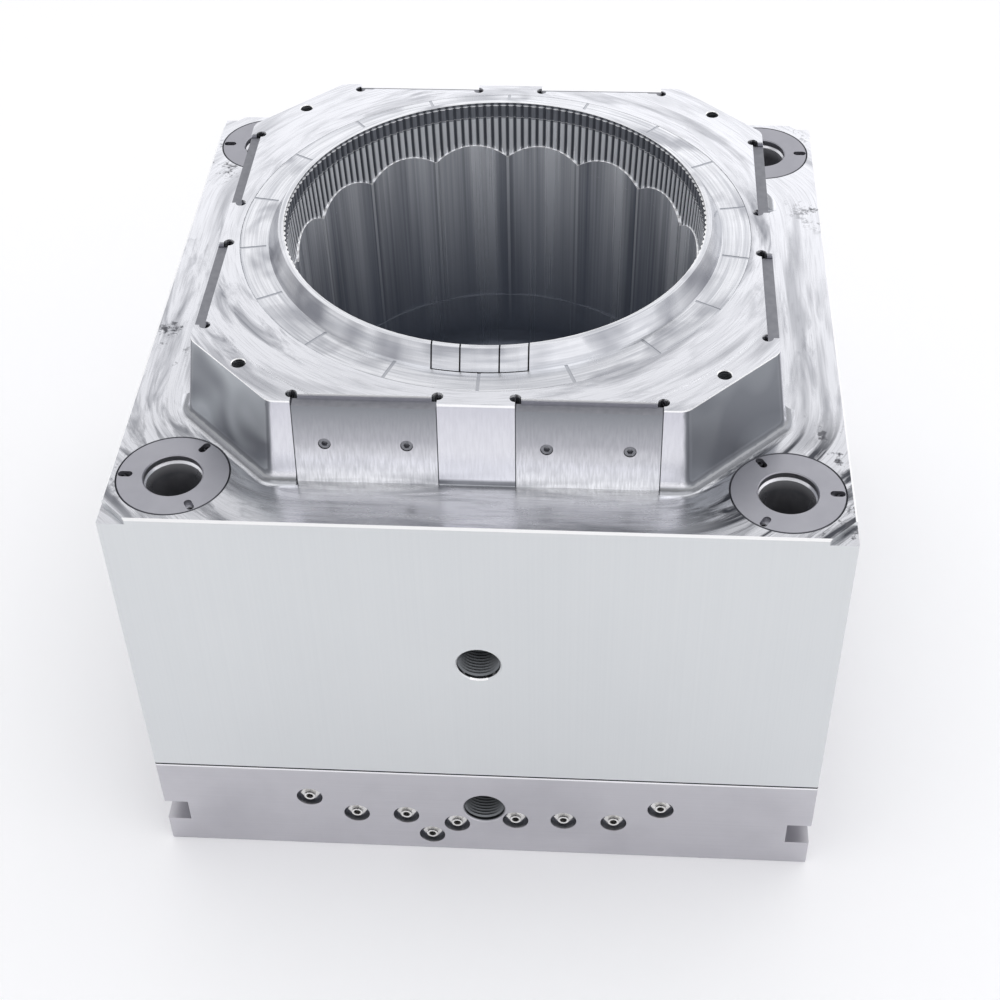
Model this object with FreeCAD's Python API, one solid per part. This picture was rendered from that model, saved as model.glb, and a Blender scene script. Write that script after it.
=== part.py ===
import FreeCAD, Part
import math
import os

# Cavity half of an injection mould for a round dustbin, in millimetres.
# It stands on its clamp plate with the parting face up. The origin is the centre of the
# underside, +Z is up and -Y is the front, where the water fittings are.
V = FreeCAD.Vector
UP = V(0, 0, 1)

# Fits between pieces
seat_clearance = 0.1        # radial, turned pieces in their seats
pocket_clearance = 0.2      # each side of a wear plate
thread_clearance = 0.1      # radial, screw shank in its tapped hole
insert_gap = 0.4            # between the rim insert pieces

# Clamp plate and block: both square on plan and flush with each other
mould_side = 650.0
plate_height = 121.0
block_height = 339.0
edge_break = 2.0
small_break = 1.0
clamp_slot_depth = 24.0
clamp_slot_height = 28.0
clamp_slot_floor = 33.5
lifting_hole_diameter = 40.0
lifting_hole_depth = 60.0
lifting_hole_break = 1.5
block_lifting_height = 286.0
plate_lifting_height = 69.0
pry_recess_leg = 27.0
pry_recess_depth = 6.0

# Octagonal register that locks the two mould halves together
register_across = 518.0
register_height = 82.0
register_draft = 8.0
register_corner_leg = 82.0
register_corner_fillet = 16.0
register_foot_fillet = 11.0
corner_relief_radius = 287.0
corner_relief_depth = 0.8
register_bolt_spacing = 420.0
register_bolt_diameter = 12.0
register_bolt_depth = 30.0
register_bolt_break = 0.8

# Wear plates, two on each side of the register
wear_plate_inner_end = 33.0
wear_plate_length = 125.0
wear_plate_thickness = 10.0
wear_plate_drop = 5.5
wear_relief_radius = 5.0
wear_screw_inset = 27.0
wear_screw_height = 39.0
m6_shank = 6.0
m6_head = 10.0
m6_head_height = 6.0
m6_head_recess = 0.8
m6_depth_in_block = 12.0
screw_hole_allowance = 0.6
head_hole_allowance = 1.0
hex_socket_share = 0.5
hex_socket_depth_share = 0.5

# Cavity wall: 16 shallow lobes that meet in narrow lands, under a fluted rim band
facet_count = 16
mouth_radius = 198.5
lip_land = 3.0
flutes_per_facet = 10
flute_depth = 1.6
flute_land_share = 0.3
upper_band_draft = 1.0
lower_band_draft = 3.0
band_step = 0.4
lower_band_height = 31.0
arch_rise = 14.0
wall_inset = 0.8
lobe_rise = 2.0
wall_draft = 0.8
crease_land = 3.0

# Cavity sleeve in the block's bore, held down by a flange at its foot
sleeve_flange_width = 8.0
sleeve_flange_height = 12.0

# Rim ring on the sleeve, with its raised collar and the vents around it
ring_radius = 241.0
ring_depth = 52.0
collar_height = 16.0
collar_lip_radius = 203.5
collar_base_radius = 214.0
vent_count = 18
vent_width = 3.0
vent_depth = 0.5
vent_start_gap = 2.0
joint_chamfer = 0.6

# Three insert pieces in the front of the collar
insert_half_width = 42.0
insert_centre_half_width = 17.0
insert_back_radius = 216.5
insert_depth = 38.0

# Bottom insert, which closes the cavity from below
insert_seam_height = 322.0
bottom_insert_radius = 200.0
cup_inset = 0.8
cup_draft = 1.5
cavity_floor_height = 245.0
floor_corner_radius = 30.0
floor_kick_radius = 150.0
floor_kick_height = 4.0
floor_kick_slope = 4.0
cooling_ring_radius = 135.0
cooling_ring_width = 22.0
cooling_ring_depth = 60.0
insert_screw_circle = 180.0
insert_screw_count = 6
insert_screw_start = 30.0

# Guide bushes and the flat rings that hold them
bush_centre = 268.0
bush_bore = 50.0
bush_outer = 70.0
bush_length = 120.0
bush_head = 80.0
bush_head_height = 10.0
bush_lead_in = 3.0
pin_clearance_bore = 60.0
keeper_outer = 100.0
keeper_bore = 52.0
keeper_thickness = 6.0
keeper_notch_count = 3
keeper_notch_width = 7.0
keeper_notch_length = 13.0
keeper_notch_edge = 1.0
m5_shank = 5.0
m5_head = 6.6
m5_head_height = 3.0
m5_depth_in_block = 10.0

# Screws and dowels that hold block and plate together
m20_shank = 20.0
m20_head = 30.0
m20_head_height = 20.0
m20_depth_in_block = 40.0
m16_shank = 16.0
m16_head = 24.0
m16_head_height = 16.0
m16_depth_in_insert = 30.0
socket_screw_recess = 2.0
plate_screw_offset = 275.0
plate_screw_outer_row = 200.0
plate_screw_inner_row = 70.0
dowel_diameter = 20.0
dowel_length = 60.0
dowel_offset = 280.0

# Water circuits: straight channels through the plate, with two baffle bores over each
channel_diameter = 11.0
outer_channel_offset = 175.0
outer_channel_height = 78.0
middle_channel_offset = 129.0
inner_channel_offset = 79.0
main_channel_height = 54.0
left_insert_port_offset = -28.0
left_insert_port_height = 43.0
right_insert_port_offset = 31.0
right_insert_port_height = 52.0
low_port_offset = -54.0
low_port_height = 23.0
port_recess_diameter = 26.0
port_recess_depth = 8.0
port_thread_diameter = 13.0
port_thread_length = 14.0
fitting_hex = 17.0
fitting_hex_height = 3.0
fitting_nose = 11.0
fitting_nose_height = 4.0
fitting_bore = 7.0
baffle_circle = 221.0
baffle_bore = 16.0
baffle_bore_top = 430.0
blade_thickness = 2.0
blade_side_gap = 0.3
blade_tongue_width = 6.5
blade_tongue_drop = 3.3
blade_top_gap = 16.0
seal_groove_depth = 2.4
seal_groove_width = 3.2
seal_side_gap = 0.3
seal_to_bore = 2.5
insert_seal_to_ring = 5.0

# Hot nozzle in the middle
nozzle_head = 100.0
nozzle_head_height = 25.0
nozzle_set_back = 1.0
nozzle_body = 40.0
nozzle_bore = 46.0
nozzle_tip = 20.0
nozzle_tip_length = 12.0
nozzle_cone_length = 14.0
nozzle_channel = 12.0
gate_diameter = 3.0
gate_length = 8.0
heater_outer = 44.0
heater_bottom = 60.0
heater_top = 205.0
nozzle_screw_circle = 78.0
nozzle_screw_count = 4
m8_shank = 8.0
m8_head = 13.0
m8_head_height = 8.0
m8_depth_in_plate = 16.0
locating_seat_diameter = 120.0
locating_seat_depth = 8.0
nozzle_screw_start = 45.0
machine_nozzle_radius = 20.0
machine_nozzle_drop = 12.0

# Worked-out places
half_side = mould_side / 2
block_top = plate_height + block_height
register_top = block_top + register_height
lip_top = register_top + collar_height
half_register = register_across / 2
draft_slope = math.tan(math.radians(register_draft))
wear_plate_back = wear_plate_thickness / math.cos(math.radians(register_draft))
wear_plate_outer_end = wear_plate_inner_end + wear_plate_length
facet_angle = 360.0 / facet_count
flute_count = facet_count * flutes_per_facet
ring_bottom = register_top - ring_depth
crest_at_lip = mouth_radius - flute_depth
arch_peak = register_top - lower_band_height
arch_valley = arch_peak - arch_rise
seat_radius = ring_radius + seat_clearance
flange_radius = ring_radius + sleeve_flange_width
nozzle_foot = locating_seat_depth + nozzle_set_back
overcut = 10.0
rim_inner = mouth_radius - 2 * overcut
level_tolerance = 0.01


def box(low, high):
    size = high - low
    return Part.makeBox(size.x, size.y, size.z, low)


def cylinder(diameter, length, base, axis=UP):
    return Part.makeCylinder(diameter / 2, length, base, axis)


def turned(profile):
    """Solid of revolution about Z from (radius, height) corners."""
    points = [V(radius, 0, height) for radius, height in profile]
    face = Part.Face(Part.makePolygon(points + [points[0]]))
    return face.revolve(V(0, 0, 0), UP, 360)


def tube(outer, inner, length, base):
    return cylinder(outer, length, base).cut(cylinder(inner, length, base))


def at_angle(radius, degrees, height):
    turn = math.radians(degrees)
    return V(radius * math.cos(turn), radius * math.sin(turn), height)


def turned_copy(shape, degrees):
    copy = shape.copy()
    copy.rotate(V(0, 0, 0), UP, degrees)
    return copy


def around(shape, count):
    """The shape repeated evenly about Z."""
    return [turned_copy(shape, 360.0 * turn / count) for turn in range(count)]


def hexagon(across_flats, length, base, axis=UP):
    radius = across_flats / math.sqrt(3)
    corners = [at_angle(radius, 60 * turn, 0) for turn in range(7)]
    prism = Part.Face(Part.makePolygon(corners)).extrude(UP * length)
    prism.Placement = FreeCAD.Placement(base, FreeCAD.Rotation(UP, axis))
    return prism


def socket_screw(shank, head, head_height, length, head_top, axis):
    """Cap screw whose head's outer face is centred on head_top, with the shank along axis."""
    head_solid = cylinder(head, head_height, head_top, axis)
    shank_solid = cylinder(shank, length, head_top + axis * head_height, axis)
    socket = hexagon(head * hex_socket_share, head_height * hex_socket_depth_share, head_top, axis)
    return head_solid.fuse(shank_solid).cut(socket).removeSplitter()


def wall_offset(height):
    """Distance from the middle of the register to its drafted wall at a height."""
    return half_register + (register_top - height) * draft_slope


def octagon(height):
    side = wall_offset(height)
    grown = (register_top - height) * draft_slope
    leg = register_corner_leg + grown * (2 - math.sqrt(2))
    near = side - leg
    corners = []
    for turn in range(4):
        corners.append(turned_copy(Part.Vertex(side, near, height), 90 * turn).Point)
        corners.append(turned_copy(Part.Vertex(near, side, height), 90 * turn).Point)
    return Part.makePolygon(corners + [corners[0]])


def register_solid():
    """The octagonal register on the block, with rounded corners and a rounded foot."""
    solid = Part.makeLoft([octagon(block_top), octagon(register_top)], True, True)
    corners = [edge for edge in solid.Edges
               if abs(edge.Vertexes[0].Z - edge.Vertexes[1].Z) > register_height / 2]
    return solid.makeFillet(register_corner_fillet, corners)


def foot_edges(shape):
    """Edges where the register meets the top of the block."""
    found = []
    for edge in shape.Edges:
        box_of_edge = edge.BoundBox
        level = max(abs(box_of_edge.ZMin - block_top), abs(box_of_edge.ZMax - block_top)) < level_tolerance
        middle = edge.valueAt((edge.FirstParameter + edge.LastParameter) / 2)
        if level and max(abs(middle.x), abs(middle.y)) < half_side - overcut:
            found.append(edge)
    return found


def side_strip(corners, start, end):
    """Prism along the front of the register, from (outward, height) corners."""
    points = [V(start, -outward, height) for outward, height in corners]
    return Part.Face(Part.makePolygon(points + [points[0]])).extrude(V(end - start, 0, 0))


def foot_trim():
    """What is milled off outside the front wall, so that its foot is square there."""
    far = wall_offset(block_top) + register_foot_fillet + overcut
    high = block_top + register_foot_fillet + overcut
    corners = [(wall_offset(block_top), block_top), (far, block_top), (far, high), (wall_offset(high), high)]
    return side_strip(corners, -wear_plate_outer_end, wear_plate_outer_end)


def wear_pocket():
    """Pocket for the right-hand wear plate of the front side, open at the top and outwards."""
    high = register_top + overcut
    far = wall_offset(block_top) + overcut
    corners = [(far, block_top), (far, high), (wall_offset(high) - wear_plate_back, high),
               (wall_offset(block_top) - wear_plate_back, block_top)]
    pocket = side_strip(corners, wear_plate_inner_end, wear_plate_outer_end)
    slope = V(0, -draft_slope, -1).normalize()
    above = box(V(-half_side, -half_side, block_top), V(half_side, half_side, high))
    for end in (wear_plate_inner_end, wear_plate_outer_end):
        start = V(end, -(wall_offset(high) - wear_plate_back), high)
        relief = cylinder(2 * wear_relief_radius, 2 * register_height, start, slope)
        pocket = pocket.fuse(relief.common(above))
    return pocket


def wear_screw_axes(direction):
    """Where the two screws of the front right plate start on its face, and their inward axis."""
    axis = V(0, math.cos(math.radians(register_draft)), -math.sin(math.radians(register_draft)))
    height = block_top + wear_screw_height
    ends = (wear_plate_inner_end + wear_screw_inset, wear_plate_outer_end - wear_screw_inset)
    return [(V(direction * end, -wall_offset(height), height), axis) for end in ends]


def wear_screw_holes():
    """Tapped holes in the register behind the front right plate."""
    length = wear_plate_thickness + m6_depth_in_block
    return [cylinder(m6_shank + 2 * thread_clearance, length, start, axis)
            for start, axis in wear_screw_axes(1)]


def wear_plate():
    """Hardened plate that fills the front right pocket to just below the register's top."""
    high = register_top - wear_plate_drop
    corners = [(wall_offset(block_top), block_top), (wall_offset(high), high),
               (wall_offset(high) - wear_plate_back, high),
               (wall_offset(block_top) - wear_plate_back, block_top)]
    plate = side_strip(corners, wear_plate_inner_end + pocket_clearance,
                       wear_plate_outer_end - pocket_clearance)
    for start, axis in wear_screw_axes(1):
        back = start - axis * overcut
        through = cylinder(m6_shank + screw_hole_allowance, wear_plate_thickness + 2 * overcut, back, axis)
        recess = cylinder(m6_head + head_hole_allowance,
                          overcut + m6_head_recess + m6_head_height, back, axis)
        plate = plate.cut(through).cut(recess)
    return plate


def wear_plate_screws():
    length = wear_plate_thickness - m6_head_height - m6_head_recess + m6_depth_in_block - small_break
    screws = [socket_screw(m6_shank, m6_head, m6_head_height, length, start + axis * m6_head_recess, axis)
              for start, axis in wear_screw_axes(1)]
    return on_all_sides(Part.makeCompound(screws))


def mirrored_pair(shape):
    return [shape, shape.mirror(V(0, 0, 0), V(1, 0, 0))]


def on_all_sides(shape):
    """Both copies on each of the four sides, in one compound."""
    solids = []
    for copy in mirrored_pair(shape):
        for turn in range(4):
            solids.extend(turned_copy(copy, 90 * turn).Solids)
    return Part.makeCompound(solids)


def lobe_wire(mid_radius, height):
    """Section of the cavity wall: one arc for each facet and a narrow land between two."""
    crease_radius = mid_radius - lobe_rise
    half_land = math.degrees(crease_land / 2 / crease_radius)
    edges = []
    for facet in range(facet_count):
        start = 90 + facet * facet_angle
        first = at_angle(crease_radius, start + half_land, height)
        top = at_angle(mid_radius, start + facet_angle / 2, height)
        last = at_angle(crease_radius, start + facet_angle - half_land, height)
        following = at_angle(crease_radius, start + facet_angle + half_land, height)
        edges.append(Part.Arc(first, top, last).toShape())
        edges.append(Part.LineSegment(last, following).toShape())
    return Part.Wire(edges)


def lobe_radius(height):
    """Radius in the middle of a facet: just inside the flute crests where the arch peaks."""
    crest = crest_at_lip - band_step - (register_top - arch_peak) * math.tan(math.radians(lower_band_draft))
    crest -= (collar_height - lip_land) * math.tan(math.radians(upper_band_draft))
    return crest - wall_inset - (arch_peak - height) * math.tan(math.radians(wall_draft))


def lobed_void(low, high):
    return Part.makeLoft([lobe_wire(lobe_radius(low), low), lobe_wire(lobe_radius(high), high)], True, True)


def flute_wire(crest_radius, height):
    """Section of the rim band: a narrow crest, then a V down to the valley, and so on."""
    pitch = 360.0 / flute_count
    half_land = pitch * flute_land_share / 2
    points = []
    for flute in range(flute_count):
        middle = 90 + (flute + 0.5) * pitch
        points.append(at_angle(crest_radius, middle - half_land, height))
        points.append(at_angle(crest_radius, middle + half_land, height))
        points.append(at_angle(crest_radius + flute_depth, middle + pitch / 2, height))
    return Part.makePolygon(points + [points[0]])


def fluted_void(low, low_radius, high, high_radius):
    return Part.makeLoft([flute_wire(low_radius, low), flute_wire(high_radius, high)], True, True)


def arch_tongues():
    """Round-topped bodies of steel below the arches, one for each facet."""
    half_chord = lobe_radius(arch_peak) * math.sin(math.radians(facet_angle / 2))
    radius = (half_chord ** 2 + arch_rise ** 2) / (2 * arch_rise)
    start = at_angle(rim_inner, 90 + facet_angle / 2, arch_peak - radius)
    outward = at_angle(1, 90 + facet_angle / 2, 0)
    return around(cylinder(2 * radius, ring_radius - rim_inner, start, outward), facet_count)


def rim_solid():
    """Rim ring and its insert pieces as one body, before they are parted."""
    body = turned([(rim_inner, ring_bottom), (ring_radius, ring_bottom),
                   (ring_radius, register_top - joint_chamfer), (ring_radius - joint_chamfer, register_top),
                   (collar_base_radius, register_top), (collar_lip_radius, lip_top), (rim_inner, lip_top)])
    band_top = lip_top - lip_land
    crest_mid = crest_at_lip - (band_top - register_top) * math.tan(math.radians(upper_band_draft))
    crest_step = crest_mid - band_step
    crest_low = crest_step - (register_top - arch_valley) * math.tan(math.radians(lower_band_draft))
    body = body.cut(lobed_void(ring_bottom - overcut, register_top - overcut))
    lower_band = fluted_void(arch_valley, crest_low, register_top, crest_step)
    body = body.cut(lower_band.cut(arch_tongues()))
    body = body.cut(fluted_void(register_top, crest_mid, band_top, crest_at_lip))
    body = body.cut(cylinder(2 * mouth_radius, lip_land + overcut, V(0, 0, band_top)))
    vent_from = collar_base_radius + vent_start_gap
    vent = box(V(vent_from, -vent_width / 2, register_top - vent_depth),
               V(ring_radius + overcut, vent_width / 2, register_top + overcut))
    vents = [turned_copy(vent, 90 + 360.0 * turn / vent_count) for turn in range(vent_count)]
    return body.cut(vents)


def insert_block(left, right, back_radius):
    """The upright slice of the collar's front that lies between two planes."""
    low = lip_top - insert_depth
    round_back = cylinder(2 * back_radius, insert_depth + overcut, V(0, 0, low))
    return round_back.common(box(V(left, -half_side, low), V(right, 0, lip_top + overcut)))


def rim_inserts(rim):
    edges = [-insert_half_width, -insert_centre_half_width, insert_centre_half_width, insert_half_width]
    names = ["rim_insert_left", "rim_insert_centre", "rim_insert_right"]
    pieces = {}
    for name, left, right in zip(names, edges, edges[1:]):
        slice_of_rim = insert_block(left + insert_gap / 2, right - insert_gap / 2,
                                    insert_back_radius - insert_gap)
        pieces[name] = rim.common(slice_of_rim)
    return pieces


def rim_ring(rim):
    return rim.cut(insert_block(-insert_half_width - insert_gap / 2, insert_half_width + insert_gap / 2,
                                insert_back_radius))


def block_channels():
    """(offset, height) of the six channels that cool the block."""
    right = [(outer_channel_offset, outer_channel_height), (middle_channel_offset, main_channel_height),
             (inner_channel_offset, main_channel_height)]
    left = [(-offset, height) for offset, height in right]
    return left + right


def insert_channels():
    """(offset, height) of the three channels that feed the bottom insert."""
    return [(left_insert_port_offset, left_insert_port_height),
            (right_insert_port_offset, right_insert_port_height),
            (low_port_offset, low_port_height)]


def baffle_places():
    """(x, y, channel height) of each baffle bore: both ends of each block channel."""
    places = []
    for offset, height in block_channels():
        reach = math.sqrt(baffle_circle ** 2 - offset ** 2)
        places.append((offset, -reach, height))
        places.append((offset, reach, height))
    return places


def insert_riser_places():
    """(x, y, channel height) where a channel turns up into the bottom insert's cooling ring."""
    return [(offset, -math.sqrt(cooling_ring_radius ** 2 - offset ** 2), height)
            for offset, height in insert_channels()]


def four_corners(offset_x, offset_y, height):
    return [V(x, y, height) for x in (-offset_x, offset_x) for y in (-offset_y, offset_y)]


def bush_places():
    return {"front_left": V(-bush_centre, -bush_centre, 0), "front_right": V(bush_centre, -bush_centre, 0),
            "rear_left": V(-bush_centre, bush_centre, 0), "rear_right": V(bush_centre, bush_centre, 0)}


def plate_screw_places():
    return (four_corners(plate_screw_offset, plate_screw_outer_row, 0)
            + four_corners(plate_screw_offset, plate_screw_inner_row, 0))


def insert_screw_places():
    return [at_angle(insert_screw_circle, insert_screw_start + 360.0 * turn / insert_screw_count, 0)
            for turn in range(insert_screw_count)]


def dowel_places():
    return [V(-dowel_offset, 0, 0), V(dowel_offset, 0, 0)]


def keeper_screw_places(place):
    """Middle of each ring screw: the outer end of a notch, starting from the outer side."""
    reach = keeper_outer / 2 - keeper_notch_edge - keeper_notch_width / 2
    side = 0 if place.x > 0 else 180
    return [place + at_angle(reach, side + 360.0 * turn / keeper_notch_count, 0)
            for turn in range(keeper_notch_count)]


def countersink(diameter, width, mouth, inward):
    """Cone that breaks the edge of a hole by a width, from its mouth inwards."""
    return Part.makeCone(diameter / 2 + 2 * width, diameter / 2, 2 * width, mouth - inward * width, inward)


def bush_seat(place):
    """Everything bored in the block for one guide bush, its ring and the long guide pin."""
    ring_seat_diameter = keeper_outer + 2 * seat_clearance
    ring_seat = cylinder(ring_seat_diameter, keeper_thickness + overcut,
                         place + UP * (block_top - keeper_thickness))
    ring_seat = ring_seat.fuse(countersink(ring_seat_diameter, joint_chamfer, place + UP * block_top, -UP))
    head_bottom = block_top - keeper_thickness - bush_head_height
    head_seat = cylinder(bush_head + 2 * seat_clearance, bush_head_height + overcut, place + UP * head_bottom)
    bush_bottom = head_bottom + bush_head_height - bush_length
    bush_hole = cylinder(bush_outer + 2 * seat_clearance, bush_length, place + UP * bush_bottom)
    pin_hole = cylinder(pin_clearance_bore, block_height, place + UP * (plate_height - overcut))
    screws = [cylinder(m5_shank + 2 * thread_clearance, m5_depth_in_block + small_break,
                       spot + UP * (block_top - keeper_thickness - m5_depth_in_block - small_break))
              for spot in keeper_screw_places(place)]
    return [ring_seat, head_seat, bush_hole, pin_hole] + screws


def lifting_holes(height):
    inward = V(0, 1, 0)
    mouth = V(0, -half_side, height)
    front = cylinder(lifting_hole_diameter, lifting_hole_depth + overcut, mouth - inward * overcut, inward)
    front = front.fuse(countersink(lifting_hole_diameter, lifting_hole_break, mouth, inward))
    return [front, turned_copy(front, 180)]


def pry_recess():
    """Triangular recess for a pry bar at one top corner of the block."""
    low = block_top - pry_recess_depth
    corner = half_side + small_break
    points = [V(corner, corner, low), V(corner - pry_recess_leg, corner, low),
              V(corner, corner - pry_recess_leg, low), V(corner, corner, low)]
    return Part.Face(Part.makePolygon(points)).extrude(UP * (pry_recess_depth + overcut))


def edges_at(shape, height):
    return [edge for edge in shape.Edges
            if max(abs(edge.BoundBox.ZMin - height), abs(edge.BoundBox.ZMax - height)) < level_tolerance]


def upright_edges(shape):
    return [edge for edge in shape.Edges if edge.BoundBox.ZLength > plate_height / 2]


def square_frustum(low, half_low, high, half_high):
    wires = []
    for half, height in ((half_low, low), (half_high, high)):
        base = Part.makePlane(2 * half, 2 * half, V(-half, -half, height))
        wires.append(base.OuterWire)
    return Part.makeLoft(wires, True, True)


def square_body(low, high, low_break, high_break):
    """Square body with broken upright edges, bevelled by 45 degrees along its foot and its top."""
    body = box(V(-half_side, -half_side, low), V(half_side, half_side, high))
    body = body.makeChamfer(small_break, upright_edges(body))
    rise = high - low
    body = body.common(square_frustum(low, half_side - high_break + rise, high, half_side - high_break))
    return body.common(square_frustum(low, half_side - low_break, high, half_side - low_break + rise))


def cavity_block():
    body = square_body(plate_height, block_top, small_break, edge_break)
    body = body.fuse(register_solid())
    body = body.makeFillet(register_foot_fillet, foot_edges(body))
    body = body.cut(around(foot_trim(), 4))
    pockets = []
    for pocket in mirrored_pair(wear_pocket()):
        pockets.extend(around(pocket, 4))
    body = body.cut(pockets)
    screw_holes = []
    for hole in wear_screw_holes():
        for copy in mirrored_pair(hole):
            screw_holes.extend(around(copy, 4))
    body = body.cut(screw_holes)
    relief = box(V(-half_side, -half_side, register_top - corner_relief_depth),
                 V(half_side, half_side, register_top + overcut))
    body = body.cut(relief.cut(cylinder(2 * corner_relief_radius, register_height,
                                        V(0, 0, register_top - overcut))))
    bore = cylinder(2 * seat_radius, register_top - plate_height + 2 * overcut, V(0, 0, plate_height - overcut))
    flange_seat = cylinder(2 * (flange_radius + seat_clearance), sleeve_flange_height + overcut,
                           V(0, 0, plate_height - overcut))
    body = body.cut(bore).cut(flange_seat)
    holes = []
    for place in bush_places().values():
        holes.extend(bush_seat(place))
    holes.extend(lifting_holes(block_lifting_height))
    holes.extend(around(pry_recess(), 4))
    for place in plate_screw_places():
        holes.append(cylinder(m20_shank + 2 * thread_clearance, m20_depth_in_block + small_break + overcut,
                              place + UP * (plate_height - overcut)))
    for place in dowel_places():
        holes.append(cylinder(dowel_diameter + 2 * seat_clearance, dowel_length / 2 + overcut,
                              place + UP * (plate_height - overcut)))
    for place in four_corners(register_bolt_spacing / 2, register_bolt_spacing / 2,
                              register_top - register_bolt_depth):
        holes.append(cylinder(register_bolt_diameter, register_bolt_depth + overcut, place))
        mouth = place + UP * (register_bolt_depth - corner_relief_depth)
        holes.append(countersink(register_bolt_diameter, register_bolt_break, mouth, -UP))
    return body.cut(holes)


def cavity_sleeve():
    """Round sleeve that carries the lobed wall, open below for the bottom insert."""
    body = turned([(rim_inner, plate_height), (flange_radius, plate_height),
                   (flange_radius, plate_height + sleeve_flange_height),
                   (ring_radius, plate_height + sleeve_flange_height),
                   (ring_radius, ring_bottom), (rim_inner, ring_bottom)])
    body = body.cut(lobed_void(insert_seam_height - overcut, ring_bottom + overcut))
    body = body.cut(cylinder(2 * (bottom_insert_radius + seat_clearance),
                             insert_seam_height - plate_height + overcut, V(0, 0, plate_height - overcut)))
    return body.cut([cylinder(baffle_bore, baffle_bore_top - plate_height + overcut,
                              V(x, y, plate_height - overcut)) for x, y, height in baffle_places()])


def nozzle_head_top():
    return nozzle_foot + nozzle_head_height


def clamp_plate():
    body = square_body(0, plate_height, small_break, edge_break)
    cuts = []
    slot = box(V(half_side - clamp_slot_depth, -half_side - overcut, clamp_slot_floor),
               V(half_side + overcut, half_side + overcut, clamp_slot_floor + clamp_slot_height))
    cuts.extend(around(slot, 2))
    cuts.extend(lifting_holes(plate_lifting_height))
    for offset, height in block_channels():
        cuts.append(cylinder(channel_diameter, mould_side, V(offset, -half_side, height), V(0, 1, 0)))
    for offset, riser_y, height in insert_riser_places():
        length = half_side + riser_y + channel_diameter / 2
        cuts.append(cylinder(channel_diameter, length, V(offset, -half_side, height), V(0, 1, 0)))
        cuts.append(cylinder(channel_diameter, plate_height - height + overcut, V(offset, riser_y, height)))
    for start, axis in port_places():
        cuts.append(cylinder(port_recess_diameter, port_recess_depth + overcut, start - axis * overcut, axis))
        cuts.append(cylinder(port_thread_diameter + 2 * thread_clearance,
                             port_recess_depth + port_thread_length + small_break, start, axis))
    for x, y, height in baffle_places():
        cuts.append(cylinder(baffle_bore, plate_height - height + overcut, V(x, y, height)))
    for diameter, place in bore_seal_places() + insert_seal_places():
        cuts.append(seal_groove(diameter, place))
    for place in plate_screw_places():
        cuts.extend(screw_seat(m20_shank, m20_head, m20_head_height, place))
    for place in insert_screw_places():
        cuts.extend(screw_seat(m16_shank, m16_head, m16_head_height, place))
    for place in dowel_places():
        cuts.append(cylinder(dowel_diameter + 2 * seat_clearance, dowel_length / 2 + overcut,
                             place + UP * (plate_height - dowel_length / 2)))
    cuts.append(cylinder(locating_seat_diameter, locating_seat_depth + overcut, V(0, 0, -overcut)))
    cuts.append(cylinder(nozzle_head + 2 * seat_clearance, nozzle_head_top(), V(0, 0, 0)))
    cuts.append(cylinder(nozzle_bore, plate_height + overcut, V(0, 0, 0)))
    for place in nozzle_screw_places():
        cuts.append(cylinder(m8_shank + 2 * thread_clearance, m8_depth_in_plate + small_break,
                             place + UP * nozzle_head_top()))
    return body.cut(cuts)


def screw_seat(shank, head, head_height, place):
    """Clearance hole and recess for a cap screw that goes in from the underside."""
    recess = cylinder(head + 2 * head_hole_allowance, head_height + socket_screw_recess + overcut,
                      place - UP * overcut)
    return [recess, cylinder(shank + 2 * screw_hole_allowance, plate_height + overcut, place)]


def screws_from_below(shank, head, head_height, grip, places):
    """Cap screws from the underside; grip is how far they reach above the plate."""
    length = plate_height - socket_screw_recess - head_height + grip
    return Part.makeCompound([socket_screw(shank, head, head_height, length,
                                           place + UP * socket_screw_recess, UP) for place in places])


def port_places():
    """Middle of each water port on the plate's face, and the axis into the plate."""
    front = [(V(offset, -half_side, height), V(0, 1, 0))
             for offset, height in block_channels() + insert_channels()]
    rear = [(V(offset, half_side, height), V(0, -1, 0)) for offset, height in block_channels()]
    return front + rear


def water_fittings():
    """Recessed nipples: thread in the plate, hexagon on the recess floor, round nose outwards."""
    fittings = []
    for start, axis in port_places():
        floor = start + axis * port_recess_depth
        thread = cylinder(port_thread_diameter, port_thread_length, floor, axis)
        hexagon_solid = hexagon(fitting_hex, fitting_hex_height, floor - axis * fitting_hex_height, axis)
        nose_length = fitting_hex_height + fitting_nose_height
        nose = cylinder(fitting_nose, nose_length, floor - axis * nose_length, axis)
        bore = cylinder(fitting_bore, nose_length + port_thread_length + 2 * overcut,
                        floor - axis * (nose_length + overcut), axis)
        fittings.append(thread.fuse([hexagon_solid, nose]).cut(bore).removeSplitter())
    return Part.makeCompound(fittings)


def baffle_blades():
    """Brass blades that split each baffle bore, standing on the shoulders of its riser."""
    blades = []
    half_wide = math.sqrt((baffle_bore / 2 - blade_side_gap) ** 2 - (blade_thickness / 2) ** 2)
    half_tongue = blade_tongue_width / 2
    for x, y, height in baffle_places():
        front = y - blade_thickness / 2
        back = y + blade_thickness / 2
        wide = box(V(x - half_wide, front, height), V(x + half_wide, back, baffle_bore_top - blade_top_gap))
        tongue = box(V(x - half_tongue, front, height - blade_tongue_drop), V(x + half_tongue, back, height))
        blades.append(wide.fuse(tongue).removeSplitter())
    return Part.makeCompound(blades)


def bore_seal_places():
    """(inner diameter, centre) of the seal ring round each baffle bore."""
    return [(baffle_bore + 2 * seal_to_bore, V(x, y, plate_height)) for x, y, height in baffle_places()]


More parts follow.
